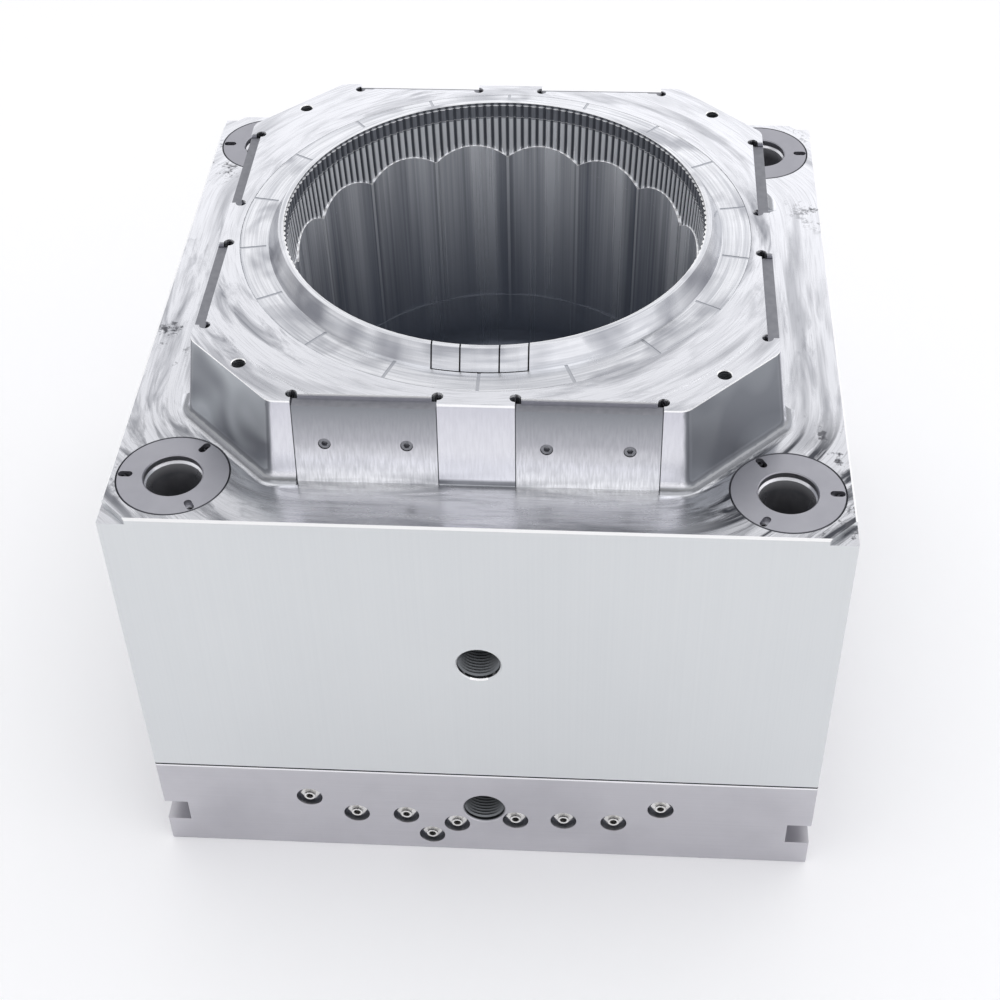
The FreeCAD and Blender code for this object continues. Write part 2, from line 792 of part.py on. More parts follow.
def insert_seal_places():
    """(inner diameter, centre) of the two seal rings beside the insert's cooling ring."""
    ring_inner = 2 * cooling_ring_radius - cooling_ring_width
    ring_outer = 2 * cooling_ring_radius + cooling_ring_width
    side = 2 * insert_seal_to_ring
    return [(ring_inner - side - 2 * seal_groove_width, V(0, 0, plate_height)),
            (ring_outer + side, V(0, 0, plate_height))]


def seal_groove(diameter, place):
    base = place - UP * seal_groove_depth
    return tube(diameter + 2 * seal_groove_width, diameter, seal_groove_depth + overcut, base)


def seal_ring(diameter, place):
    """Rubber ring squeezed square between the groove's floor and the piece above."""
    base = place - UP * seal_groove_depth
    return tube(diameter + 2 * seal_groove_width - 2 * seal_side_gap, diameter + 2 * seal_side_gap,
                seal_groove_depth, base)


def bore_seals():
    return Part.makeCompound([seal_ring(diameter, place) for diameter, place in bore_seal_places()])


def insert_seals():
    return Part.makeCompound([seal_ring(diameter, place) for diameter, place in insert_seal_places()])


def bottom_insert():
    body = cylinder(2 * bottom_insert_radius, insert_seam_height - plate_height, V(0, 0, plate_height))
    cup_radius = lobe_radius(insert_seam_height) - lobe_rise - cup_inset
    cup_depth = insert_seam_height - cavity_floor_height
    floor_radius = cup_radius - cup_depth * math.tan(math.radians(cup_draft))
    cup = Part.makeCone(floor_radius, cup_radius, cup_depth, V(0, 0, cavity_floor_height))
    cup = cup.makeFillet(floor_corner_radius, edges_at(cup, cavity_floor_height))
    kick = Part.makeCone(floor_kick_radius + floor_kick_slope, floor_kick_radius, floor_kick_height,
                         V(0, 0, cavity_floor_height))
    body = body.cut(cup.cut(kick))
    ring_outer = 2 * cooling_ring_radius + cooling_ring_width
    ring_inner = 2 * cooling_ring_radius - cooling_ring_width
    body = body.cut(tube(ring_outer, ring_inner, cooling_ring_depth, V(0, 0, plate_height)))
    body = body.cut(cylinder(nozzle_bore, nozzle_shoulder() - plate_height, V(0, 0, plate_height)))
    cone = Part.makeCone(nozzle_bore / 2, nozzle_tip / 2 + seat_clearance, nozzle_cone_length,
                         V(0, 0, nozzle_shoulder()))
    tip_hole = cylinder(nozzle_tip + 2 * seat_clearance,
                        nozzle_cone_length + nozzle_tip_length + overcut, V(0, 0, nozzle_shoulder()))
    body = body.cut(cone.fuse(tip_hole))
    screws = [cylinder(m16_shank + 2 * thread_clearance, m16_depth_in_insert + small_break,
                       place + UP * plate_height) for place in insert_screw_places()]
    return body.cut(screws)


def tip_top():
    return cavity_floor_height + floor_kick_height


def nozzle_shoulder():
    """Height where the nozzle starts to narrow towards its tip."""
    return tip_top() - nozzle_tip_length - nozzle_cone_length


def nozzle_screw_places():
    return [at_angle(nozzle_screw_circle / 2, nozzle_screw_start + 360.0 * turn / nozzle_screw_count, 0)
            for turn in range(nozzle_screw_count)]


def hot_nozzle():
    shoulder = nozzle_shoulder()
    body = turned([(0, nozzle_foot), (nozzle_head / 2, nozzle_foot),
                   (nozzle_head / 2, nozzle_head_top()), (nozzle_body / 2, nozzle_head_top()),
                   (nozzle_body / 2, shoulder), (nozzle_tip / 2, shoulder + nozzle_cone_length),
                   (nozzle_tip / 2, tip_top()), (0, tip_top())])
    body = body.cut(cylinder(nozzle_channel, tip_top() - gate_length, V(0, 0, 0)))
    body = body.cut(cylinder(gate_diameter, tip_top() + overcut, V(0, 0, 0)))
    body = body.cut(Part.makeSphere(machine_nozzle_radius,
                                    V(0, 0, nozzle_foot - machine_nozzle_drop)))
    for place in nozzle_screw_places():
        recess = cylinder(m8_head + head_hole_allowance, m8_head_height + small_break + overcut,
                          place + UP * (nozzle_foot - overcut))
        hole = cylinder(m8_shank + screw_hole_allowance, nozzle_head_height + overcut,
                        place + UP * nozzle_foot)
        body = body.cut([recess, hole])
    return body


def nozzle_screws():
    length = nozzle_head_height - m8_head_height - small_break + m8_depth_in_plate
    return Part.makeCompound([socket_screw(m8_shank, m8_head, m8_head_height, length,
                                           place + UP * (nozzle_foot + small_break), UP)
                              for place in nozzle_screw_places()])


def nozzle_heater():
    return tube(heater_outer, nozzle_body + 2 * seat_clearance, heater_top - heater_bottom,
                V(0, 0, heater_bottom))


def guide_bush(place):
    top = block_top - keeper_thickness
    bottom = top - bush_length
    profile = [(bush_bore / 2, bottom), (bush_outer / 2, bottom), (bush_outer / 2, top - bush_head_height),
               (bush_head / 2, top - bush_head_height), (bush_head / 2, top),
               (bush_bore / 2 + bush_lead_in, top), (bush_bore / 2, top - bush_lead_in)]
    bush = turned(profile)
    bush.translate(place)
    return bush


def bush_keeper(place):
    """Flat ring over a guide bush, with broken edges and three notches that hold its screws."""
    low = block_top - keeper_thickness
    outer = keeper_outer / 2
    inner = keeper_bore / 2
    ring = turned([(inner, low), (outer, low), (outer, block_top - joint_chamfer),
                   (outer - joint_chamfer, block_top), (inner + small_break, block_top),
                   (inner, block_top - small_break)])
    ring.translate(place)
    for spot in keeper_screw_places(place):
        inward = (place - spot).normalize()
        inner_end = spot + inward * (keeper_notch_length - keeper_notch_width)
        ends = [cylinder(keeper_notch_width, keeper_thickness + overcut, end + UP * low)
                for end in (spot, inner_end)]
        middle = box(V(0, -keeper_notch_width / 2, 0),
                     V(keeper_notch_length - keeper_notch_width, keeper_notch_width / 2,
                       keeper_thickness + overcut))
        middle.rotate(V(0, 0, 0), UP, math.degrees(math.atan2(inward.y, inward.x)))
        middle.translate(spot + UP * low)
        ring = ring.cut(ends + [middle])
    return ring


def keeper_screws():
    """Low screws in the notches, seated on the block below the ring's face."""
    screws = []
    for place in bush_places().values():
        for spot in keeper_screw_places(place):
            top = spot + UP * (block_top - keeper_thickness + m5_head_height)
            screws.append(socket_screw(m5_shank, m5_head, m5_head_height, m5_depth_in_block, top, -UP))
    return Part.makeCompound(screws)


def dowel_pins():
    return Part.makeCompound([cylinder(dowel_diameter, dowel_length - 2 * small_break,
                                       place + UP * (plate_height - dowel_length / 2))
                              for place in dowel_places()])


def wear_plates():
    """Eight plates: the front right one, its mirror image, and both turned to each side."""
    sides = ["front", "right", "rear", "left"]
    plates = {}
    for half, copy in zip(("b", "a"), mirrored_pair(wear_plate())):
        for turn, side in enumerate(sides):
            plates[f"wear_plate_{side}_{half}"] = turned_copy(copy, 90 * turn)
    return plates


def build():
    rim = rim_solid()
    nodes = {"cavity_block": cavity_block(), "clamp_plate": clamp_plate(), "cavity_sleeve": cavity_sleeve(),
             "bottom_insert": bottom_insert(), "rim_ring": rim_ring(rim)}
    nodes.update(rim_inserts(rim))
    nodes.update(wear_plates())
    nodes["wear_plate_screws"] = wear_plate_screws()
    for corner, place in bush_places().items():
        nodes[f"guide_bush_{corner}"] = guide_bush(place)
        nodes[f"bush_keeper_{corner}"] = bush_keeper(place)
    nodes["keeper_screws"] = keeper_screws()
    nodes["clamp_plate_screws"] = screws_from_below(m20_shank, m20_head, m20_head_height,
                                                    m20_depth_in_block, plate_screw_places())
    nodes["insert_screws"] = screws_from_below(m16_shank, m16_head, m16_head_height,
                                               m16_depth_in_insert, insert_screw_places())
    nodes["dowel_pins"] = dowel_pins()
    nodes["water_fittings"] = water_fittings()
    nodes["baffle_blades"] = baffle_blades()
    nodes["bore_seals"] = bore_seals()
    nodes["insert_seals"] = insert_seals()
    nodes["hot_nozzle"] = hot_nozzle()
    nodes["nozzle_heater"] = nozzle_heater()
    nodes["nozzle_screws"] = nozzle_screws()
    return nodes


os.makedirs("parts", exist_ok=True)
for name, shape in build().items():
    shape.exportStep(f"parts/{name}.step")
    print(name, len(shape.Solids), "solids", shape.isValid(), round(shape.Volume / 1000), "cm3")
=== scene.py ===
import math

import bmesh
import bpy
from mathutils import Matrix, Vector


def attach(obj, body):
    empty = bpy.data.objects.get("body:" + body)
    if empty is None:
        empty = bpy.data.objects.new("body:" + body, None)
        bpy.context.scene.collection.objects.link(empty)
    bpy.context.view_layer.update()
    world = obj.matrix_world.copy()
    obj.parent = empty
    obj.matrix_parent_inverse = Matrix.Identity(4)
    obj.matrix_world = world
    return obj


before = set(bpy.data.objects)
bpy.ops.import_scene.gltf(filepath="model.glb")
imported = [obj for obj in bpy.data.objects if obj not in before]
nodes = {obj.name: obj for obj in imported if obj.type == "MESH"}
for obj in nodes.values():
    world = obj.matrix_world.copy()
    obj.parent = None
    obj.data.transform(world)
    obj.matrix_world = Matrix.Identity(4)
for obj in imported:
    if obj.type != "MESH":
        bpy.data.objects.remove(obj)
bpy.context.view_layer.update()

scene = bpy.context.scene

# Camera. It stands where the photograph was taken: in front of the mould and a little to its
# right, at a bit less than three times the mould's height, looking down into the cavity.
camera = bpy.data.objects.new("camera", bpy.data.cameras.new("camera"))
scene.collection.objects.link(camera)
scene.camera = camera
camera.location = (0.1079, -1.3776, 1.4982)
camera.rotation_euler = [math.radians(angle) for angle in (46.472, 1.088, 3.534)]
camera.data.sensor_width = 36
camera.data.lens = 63.13


# Floor and light. A plain pale floor under a white studio tent, brightest a third of the way
# up and towards the right, which the machined tops mirror, and one broad lamp overhead.
def paint(code):
    """Linear colour from an sRGB hex code."""
    shares = [int(code[start:start + 2], 16) / 255 for start in (1, 3, 5)]
    return [share / 12.92 if share <= 0.04045 else ((share + 0.055) / 1.055) ** 2.4
            for share in shares] + [1.0]


def add(material, kind, settings=None, links=None):
    """Adds a shader node, sets its properties and sockets, and wires its inputs. A link from a
    node comes from the first output it has in use."""
    node = material.node_tree.nodes.new("ShaderNode" + kind)
    for name, value in (settings or {}).items():
        if isinstance(name, str) and hasattr(node, name):
            setattr(node, name, value)
        else:
            node.inputs[name].default_value = value
    for name, source in (links or {}).items():
        if isinstance(source, bpy.types.Node):
            source = next(output for output in source.outputs if output.enabled)
        material.node_tree.links.new(source, node.inputs[name])
    return node


def new_material(name):
    """An empty material, ready for its nodes."""
    material = bpy.data.materials.new(name)
    material.use_nodes = True
    material.node_tree.nodes.clear()
    return material


def finish_with(material, settings, links):
    """Ends a material in one shader with these sockets."""
    shader = add(material, "BsdfPrincipled", settings, links)
    add(material, "OutputMaterial", {}, {"Surface": shader})


floor_size = 40.0
floor_mesh = bmesh.new()
bmesh.ops.create_grid(floor_mesh, x_segments=1, y_segments=1, size=floor_size / 2)
floor_data = bpy.data.meshes.new("floor")
floor_mesh.to_mesh(floor_data)
floor_mesh.free()
floor = bpy.data.objects.new("floor", floor_data)
scene.collection.objects.link(floor)
paper = new_material("matt_white_studio_paper")
finish_with(paper, {"Base Color": paint("#FEFEFF"), "Roughness": 0.9, "Specular IOR Level": 0.1}, {})
floor_data.materials.append(paper)

tent = bpy.data.worlds.new("white_studio_tent")
scene.world = tent
tent.use_nodes = True
tent.node_tree.nodes.clear()
direction = add(tent, "SeparateXYZ", {}, {0: add(tent, "TexCoord").outputs["Generated"]}).outputs
glow = add(tent, "ValToRGB", {}, {"Fac": direction[2]})
tent_levels = [(0.0, 0.66), (0.2, 0.86), (0.46, 1.0), (0.56, 0.97),
               (0.63, 0.8), (0.69, 0.58), (0.78, 0.45), (1.0, 0.42)]
while len(glow.color_ramp.elements) < len(tent_levels):
    glow.color_ramp.elements.new(0.5)
for stop, (height, level) in zip(glow.color_ramp.elements, tent_levels):
    stop.position = height
    stop.color = (level, level, level * 1.02, 1.0)
lean = add(tent, "MapRange", {"From Min": -0.5, "From Max": 0.5, "To Min": 1.1, "To Max": 1.36},
           {"Value": direction[0]})
sky = add(tent, "Background", {}, {"Color": glow, "Strength": lean})
add(tent, "OutputWorld", {}, {"Surface": sky})
scene.view_settings.view_transform = "Standard"

lamp_data = bpy.data.lights.new("broad_lamp", "AREA")
lamp_data.energy = 62
lamp_data.size = 4.5
lamp = bpy.data.objects.new("broad_lamp", lamp_data)
scene.collection.objects.link(lamp)
lamp.location = (0.0, 0.2, 4.5)


# Clamp plate. A 121 mm slab of carbon steel, milled all over and lightly oiled, which the
# machine's clamps hold by the slot along each side.
def steel_places(material):
    """Object coordinates in metres, split, and the outward normal, split."""
    place = add(material, "TexCoord").outputs["Object"]
    split = add(material, "SeparateXYZ", {}, {0: place})
    normal = add(material, "NewGeometry").outputs["Normal"]
    facing = add(material, "SeparateXYZ", {}, {0: normal})
    return place, split.outputs, facing.outputs


def dress(material, *names):
    """Gives CAD nodes this material."""
    for name in names:
        for slot in nodes[name].material_slots:
            slot.material = material


plate_steel = new_material("carbon_steel_milled")
place, axis = steel_places(plate_steel)[:2]
# Cutter lines lie level along the sides; at their true 0.4 mm they would not show.
mill_pitch = 0.0014
lines = add(plate_steel, "Mapping", {"Scale": (6, 6, 1 / mill_pitch)}, {"Vector": place})
mill_lines = add(plate_steel, "TexNoise", {"Scale": 1.0, "Detail": 2.0}, {"Vector": lines})
blotches = add(plate_steel, "TexNoise", {"Scale": 9.0, "Detail": 5.0}, {"Vector": place})
gloss = add(plate_steel, "MapRange", {"From Min": 0.3, "From Max": 0.7, "To Min": 0.3, "To Max": 0.44},
            {"Value": blotches})
milled = add(plate_steel, "Mix", {"data_type": "RGBA", 6: paint("#CBCACF"), 7: paint("#C1C0C5")},
             {0: mill_lines})
# Oil film in patches, a little darker than the bare metal.
grime_and_shade = add(plate_steel, "MapRange", {"From Min": 0.48, "From Max": 0.7, "To Max": 0.4},
          {"Value": blotches})
oiled_and_shaded = add(plate_steel, "Mix", {"data_type": "RGBA", 7: paint("#AEADB3")}, {0: grime_and_shade, 6: milled})
# Painted shade: the water recesses are painted darker, and the tapped lifting holes, one
# in front and one behind, darken to near black inwards from their mouths.
half_side = 0.325
plate_height = 0.121
from_middle = add(plate_steel, "VectorMath", {"operation": "ABSOLUTE"}, {0: place})
inward = add(plate_steel, "SeparateXYZ", {}, {0: from_middle}).outputs
behind_face = add(plate_steel, "Math", {"operation": "LESS_THAN", 1: half_side - 0.0006},
                  {0: inward[1]})
off_slots = add(plate_steel, "Math", {"operation": "LESS_THAN", 1: 0.28}, {0: inward[0]})
between = add(plate_steel, "Math",
              {"operation": "COMPARE", 1: plate_height / 2, 2: plate_height / 2 - 0.003}, {0: axis[2]})
inner_face = add(plate_steel, "Math", {"operation": "MULTIPLY"}, {0: behind_face, 1: off_slots})
in_recess = add(plate_steel, "Math", {"operation": "MULTIPLY"}, {0: inner_face, 1: between})
darkened = add(plate_steel, "Mix", {"data_type": "RGBA", 7: paint("#8F9095")}, {0: in_recess, 6: oiled_and_shaded})
lifting_radius = 0.02
plate_lifting_height = 0.069
endwise = add(plate_steel, "VectorMath", {"operation": "MULTIPLY", 1: (1, 0, 1)}, {0: place})
off_hole = add(plate_steel, "VectorMath", {"operation": "DISTANCE", 1: (0, 0, plate_lifting_height)},
               {0: endwise})
in_hole = add(plate_steel, "Math", {"operation": "LESS_THAN", 1: lifting_radius + 0.0002},
              {0: off_hole})
hole_depth = add(plate_steel, "MapRange", {"From Min": half_side, "From Max": half_side - 0.022},
                 {"Value": inward[1]})
hole_shade = add(plate_steel, "Mix", {"data_type": "RGBA", 6: paint("#5E6063"), 7: paint("#1A1B1D")},
                {0: hole_depth})
with_hole_shade = add(plate_steel, "Mix", {"data_type": "RGBA"}, {0: in_hole, 6: darkened, 7: hole_shade})
# Painted highlight: the broken edge under the joint with the block is painted near white.
at_edge = add(plate_steel, "Math", {"operation": "GREATER_THAN", 1: plate_height - 0.0016},
              {0: axis[2]})
tone = add(plate_steel, "Mix", {"data_type": "RGBA", 7: paint("#F4F4F7")}, {0: at_edge, 6: with_hole_shade})
groove = add(plate_steel, "Bump", {"Strength": 0.08, "Distance": 0.0005}, {"Height": mill_lines})
finish_with(plate_steel, {"Metallic": 1.0},
            {"Base Color": tone, "Roughness": gloss, "Normal": groove})
dress(plate_steel, "clamp_plate")

# Cavity block. One forging of tool steel: sides ground flat and pale, and a face-milled top
# with its raised octagonal register, wiped with oil that dried in arcs along the cutter's path.
block_steel = new_material("tool_steel_ground_and_milled")
place, axis, facing = steel_places(block_steel)
up = add(block_steel, "MapRange", {"From Min": 0.9, "From Max": 0.98}, {"Value": facing[2]})
ledge_height = 0.46
raised = add(block_steel, "Math", {"operation": "GREATER_THAN", 1: ledge_height + 0.06}, {0: axis[2]})
above_ledge = add(block_steel, "Math", {"operation": "GREATER_THAN", 1: ledge_height + 0.0005},
                  {0: axis[2]})
aside = [add(block_steel, "Math", {"operation": "ABSOLUTE"}, {0: axis[way]}) for way in (0, 1)]
# Distance from the middle to the cutter's path: an eight-sided path round the register on the
# ledge, and circles round the cavity on the register's top.
square_way = add(block_steel, "Math", {"operation": "SMOOTH_MAX", 2: 0.03}, {0: aside[0], 1: aside[1]})
both = add(block_steel, "Math", {"operation": "ADD"}, {0: aside[0], 1: aside[1]})
corner_shift = 0.049
corner_way = add(block_steel, "Math", {"operation": "MULTIPLY_ADD", 1: math.sqrt(0.5), 2: -corner_shift},
                 {0: both})
ledge_path = add(block_steel, "Math", {"operation": "SMOOTH_MAX", 2: 0.05},
                 {0: square_way, 1: corner_way})
flat = add(block_steel, "VectorMath", {"operation": "MULTIPLY", 1: (1, 1, 0)}, {0: place})
radius = add(block_steel, "VectorMath", {"operation": "LENGTH"}, {0: flat})
heading = add(block_steel, "VectorMath", {"operation": "NORMALIZE"}, {0: flat})
path = add(block_steel, "Mix", {}, {0: raised, 2: ledge_path, 3: radius})
turn = add(block_steel, "SeparateXYZ", {}, {0: heading}).outputs
along = add(block_steel, "CombineXYZ", {}, {0: path, 1: turn[0], 2: turn[1]})
# Smears 14 mm wide and a hand's width long, and scratches a tenth of that.
sweep = add(block_steel, "Mapping", {"Scale": (70, 3.2, 3.2)}, {"Vector": along})
smears = add(block_steel, "TexNoise",
             {"Scale": 1.0, "Detail": 5.0, "Roughness": 0.62, "Distortion": 0.7}, {"Vector": sweep})
scratch_way = add(block_steel, "Mapping", {"Scale": (650, 7, 7)}, {"Vector": along})
scratches = add(block_steel, "TexNoise", {"Scale": 1.0, "Detail": 2.0}, {"Vector": scratch_way})
wiped = add(block_steel, "MapRange", {"From Min": 0.49, "From Max": 0.7}, {"Value": smears})
# Some stretches were wiped clean, and others not at all.
stretches = add(block_steel, "TexNoise", {"Scale": 5.0, "Detail": 2.0, "Distortion": 0.5},
                {"Vector": place})
unwiped = add(block_steel, "MapRange", {"From Min": 0.42, "From Max": 0.62, "To Min": 0.16},
              {"Value": stretches})
left_on = add(block_steel, "Math", {"operation": "MULTIPLY"}, {0: wiped, 1: unwiped})
top_tone = add(block_steel, "Mix", {"data_type": "RGBA", 6: paint("#E9EAEE"), 7: paint("#8E9097")},
               {0: left_on})
fine = add(block_steel, "MapRange", {"From Min": 0.5, "From Max": 0.72, "To Max": 0.24},
           {"Value": scratches})
scratched = add(block_steel, "Mix", {"data_type": "RGBA", 7: paint("#8B8D93")}, {0: fine, 6: top_tone})
# Broad bands of old oil lie along the same path.
band_way = add(block_steel, "Mapping", {"Scale": (44, 1.5, 1.5)}, {"Vector": along})
bands = add(block_steel, "TexNoise", {"Scale": 1.0, "Detail": 3.0, "Distortion": 0.4},
            {"Vector": band_way})
banded = add(block_steel, "MapRange", {"From Min": 0.55, "From Max": 0.68, "To Max": 0.5},
             {"Value": bands})
scratched = add(block_steel, "Mix", {"data_type": "RGBA", 7: paint("#85878E")},
                {0: banded, 6: scratched})
# Dark smears gather round the front rings, most of all round the right one.
bush_centre = 0.268
folded = add(block_steel, "CombineXYZ", {}, {0: aside[0], 1: aside[1]})
off_bush = add(block_steel, "VectorMath", {"operation": "DISTANCE", 1: (bush_centre, bush_centre, 0)},
               {0: folded})
near_ring = add(block_steel, "MapRange", {"From Min": 0.125, "From Max": 0.06}, {"Value": off_bush})
in_front = add(block_steel, "MapRange", {"From Min": 0.0, "From Max": -0.2}, {"Value": axis[1]})
on_right = add(block_steel, "MapRange", {"From Min": -0.1, "From Max": 0.1, "To Min": 0.4},
               {"Value": axis[0]})
on_ledge = add(block_steel, "Math", {"operation": "SUBTRACT", 0: 1.0}, {1: raised})
gathered = add(block_steel, "MapRange", {"From Min": 0.47, "From Max": 0.6}, {"Value": smears})
smear_share = gathered
for limit in (near_ring, in_front, on_right, on_ledge):
    smear_share = add(block_steel, "Math", {"operation": "MULTIPLY"}, {0: smear_share, 1: limit})
scratched = add(block_steel, "Mix", {"data_type": "RGBA", 7: paint("#4E5056")},
                {0: smear_share, 6: scratched})
# Dark grease, in short dabs along the left and right edges of the ledge.
dabs = add(block_steel, "TexNoise", {"Scale": 55.0, "Detail": 4.0, "Roughness": 0.7}, {"Vector": place})
patches = add(block_steel, "TexNoise", {"Scale": 7.0, "Detail": 1.0}, {"Vector": place})
dab_edge = add(block_steel, "MapRange", {"From Min": 0.57, "From Max": 0.65}, {"Value": dabs})
dab_patch = add(block_steel, "MapRange", {"From Min": 0.5, "From Max": 0.6}, {"Value": patches})
dab_zone = add(block_steel, "MapRange", {"From Min": 0.278, "From Max": 0.3}, {"Value": aside[0]})
dab_here = add(block_steel, "Math", {"operation": "MULTIPLY"}, {0: dab_edge, 1: dab_patch})
grease_and_bore_shade = add(block_steel, "Math", {"operation": "MULTIPLY"}, {0: dab_here, 1: dab_zone})
greased = add(block_steel, "Mix", {"data_type": "RGBA", 7: paint("#5C5D62")}, {0: grease_and_bore_shade, 6: scratched})
# Sides: ground flat, with upright strokes that hardly stand out.
strokes = add(block_steel, "Mapping", {"Scale": (600, 600, 1.2)}, {"Vector": place})
grind = add(block_steel, "TexNoise", {"Scale": 1.0, "Detail": 1.0}, {"Vector": strokes})
clouds = add(block_steel, "TexNoise", {"Scale": 4.0, "Detail": 2.0}, {"Vector": place})
side_mix = add(block_steel, "Mix", {0: 0.35}, {2: clouds, 3: grind})
side_tone = add(block_steel, "Mix", {"data_type": "RGBA", 6: paint("#DFE1E2"), 7: paint("#D3D6D8")},
                {0: side_mix})
# Painted reflection: the register's walls are painted brightest at their foot, where they mirror the
# ledge.
climb = add(block_steel, "MapRange", {"From Min": ledge_height, "From Max": ledge_height + 0.08},
            {"Value": axis[2]})
wall_reflection = add(block_steel, "Mix", {"data_type": "RGBA", 6: paint("#F8F8FC"), 7: paint("#D2D2DA")},
                {0: climb})
wall_lines = add(block_steel, "MapRange", {"From Min": 0.3, "From Max": 0.7, "To Max": 0.16},
                 {"Value": grind})
wall_tone = add(block_steel, "Mix", {"data_type": "RGBA", 7: paint("#A9A9B2")},
                {0: wall_lines, 6: wall_reflection})
# Its corner walls are side-milled and dull, with patches where coolant dried, mostly on the left.
slant = add(block_steel, "Math", {"operation": "MULTIPLY"}, {0: facing[0], 1: facing[1]})
slanted = add(block_steel, "Math", {"operation": "ABSOLUTE"}, {0: slant})
at_corner = add(block_steel, "MapRange", {"From Min": 0.15, "From Max": 0.48}, {"Value": slanted})
dried = add(block_steel, "TexNoise", {"Scale": 13.0, "Detail": 1.0, "Distortion": 0.8},
            {"Vector": place})
dried_edge = add(block_steel, "MapRange", {"From Min": 0.44, "From Max": 0.6}, {"Value": dried})
left_more = add(block_steel, "MapRange", {"From Min": 0.05, "From Max": -0.05, "To Min": 0.2},
                {"Value": axis[0]})
dried_on = add(block_steel, "Math", {"operation": "MULTIPLY"}, {0: dried_edge, 1: left_more})
dull = add(block_steel, "Mix", {"data_type": "RGBA", 6: paint("#86898F"), 7: paint("#B8BCC0")},
           {0: dried_on})
wall = add(block_steel, "Mix", {"data_type": "RGBA"}, {0: at_corner, 6: wall_tone, 7: dull})
# Painted shade: a dark band stands up each rounded corner of the register.
corner_shade = add(block_steel, "ValToRGB", {}, {"Fac": slanted})
band_levels = [(0.22, 0.0), (0.34, 0.7), (0.42, 0.7), (0.47, 0.0)]
while len(corner_shade.color_ramp.elements) < len(band_levels):
    corner_shade.color_ramp.elements.new(0.5)
for stop, (share, level) in zip(corner_shade.color_ramp.elements, band_levels):
    stop.position = share
    stop.color = (level, level, level, 1.0)
wall = add(block_steel, "Mix", {"data_type": "RGBA", 7: paint("#5C5F65")}, {0: corner_shade, 6: wall})
# Painted shade: the tapped lifting holes darken to near black inwards from their mouths. A band
# along the joint with the clamp plate is painted near black.
block_lifting_height = 0.286
endwise = add(block_steel, "VectorMath", {"operation": "MULTIPLY", 1: (1, 0, 1)}, {0: place})
off_hole = add(block_steel, "VectorMath", {"operation": "DISTANCE", 1: (0, 0, block_lifting_height)},
               {0: endwise})
in_hole = add(block_steel, "Math", {"operation": "LESS_THAN", 1: lifting_radius + 0.0002},
              {0: off_hole})
hole_depth = add(block_steel, "MapRange", {"From Min": half_side, "From Max": half_side - 0.022},
                 {"Value": aside[1]})
hole_shade = add(block_steel, "Mix", {"data_type": "RGBA", 6: paint("#5E6063"), 7: paint("#1A1B1D")},
                {0: hole_depth})
bored = add(block_steel, "Mix", {"data_type": "RGBA"}, {0: in_hole, 6: side_tone, 7: hole_shade})
at_joint = add(block_steel, "Math", {"operation": "LESS_THAN", 1: plate_height + 0.003}, {0: axis[2]})
side = add(block_steel, "Mix", {"data_type": "RGBA", 7: paint("#35373A")}, {0: at_joint, 6: bored})
upright = add(block_steel, "Mix", {"data_type": "RGBA"}, {0: above_ledge, 6: side, 7: wall})
# Painted highlight: the broken edges round the top and round the register's top are painted white.
register_top = 0.542
tilt = add(block_steel, "Math", {"operation": "COMPARE", 1: 0.707, 2: 0.06}, {0: facing[2]})
crest = add(block_steel, "Math", {"operation": "GREATER_THAN", 1: register_top - 0.0024}, {0: axis[2]})
edge_highlight = add(block_steel, "Math", {"operation": "MAXIMUM"}, {0: tilt, 1: crest})
edged = add(block_steel, "Mix", {"data_type": "RGBA", 7: paint("#FFFFFF")}, {0: edge_highlight, 6: upright})
tone = add(block_steel, "Mix", {"data_type": "RGBA"}, {0: up, 6: edged, 7: greased})
# Painted shade: the fillet at the register's foot is painted darker.
from_foot = add(block_steel, "MapRange",
                {"From Min": ledge_height + 0.0002, "From Max": ledge_height + 0.0008}, {"Value": axis[2]})
to_wall = add(block_steel, "MapRange",
              {"From Min": ledge_height + 0.004, "From Max": ledge_height + 0.0066,
               "To Min": 0.8, "To Max": 0.0}, {"Value": axis[2]})
in_foot = add(block_steel, "Math", {"operation": "MULTIPLY"}, {0: from_foot, 1: to_wall})
oiled_and_shaded = add(block_steel, "Mix", {"data_type": "RGBA", 7: paint("#6E7176")}, {0: in_foot, 6: tone})
# Painted shade: a dark line round the rings over the bushes stands for the shadow in the gap round them.
keeper_radius = 0.05
round_ring = add(block_steel, "Math", {"operation": "LESS_THAN", 1: keeper_radius + 0.0009},
                 {0: off_bush})
outlined = add(block_steel, "Mix", {"data_type": "RGBA", 7: paint("#56575C")},
               {0: round_ring, 6: oiled_and_shaded})
wall_gloss = add(block_steel, "Mix", {2: 0.24, 3: 0.5}, {0: at_corner})
side_gloss = add(block_steel, "Mix", {2: 0.42}, {0: above_ledge, 3: wall_gloss})
top_gloss = add(block_steel, "MapRange",
                {"From Min": 0.3, "From Max": 0.7, "To Min": 0.15, "To Max": 0.34}, {"Value": smears})
gloss = add(block_steel, "Mix", {}, {0: up, 2: side_gloss, 3: top_gloss})
depth = add(block_steel, "Math", {"operation": "MULTIPLY", 1: 0.12}, {0: up})
relief = add(block_steel, "Bump", {"Distance": 0.0003}, {"Height": scratches, "Strength": depth})
finish_with(block_steel, {"Metallic": 1.0},
            {"Base Color": outlined, "Roughness": gloss, "Normal": relief})
dress(block_steel, "cavity_block")


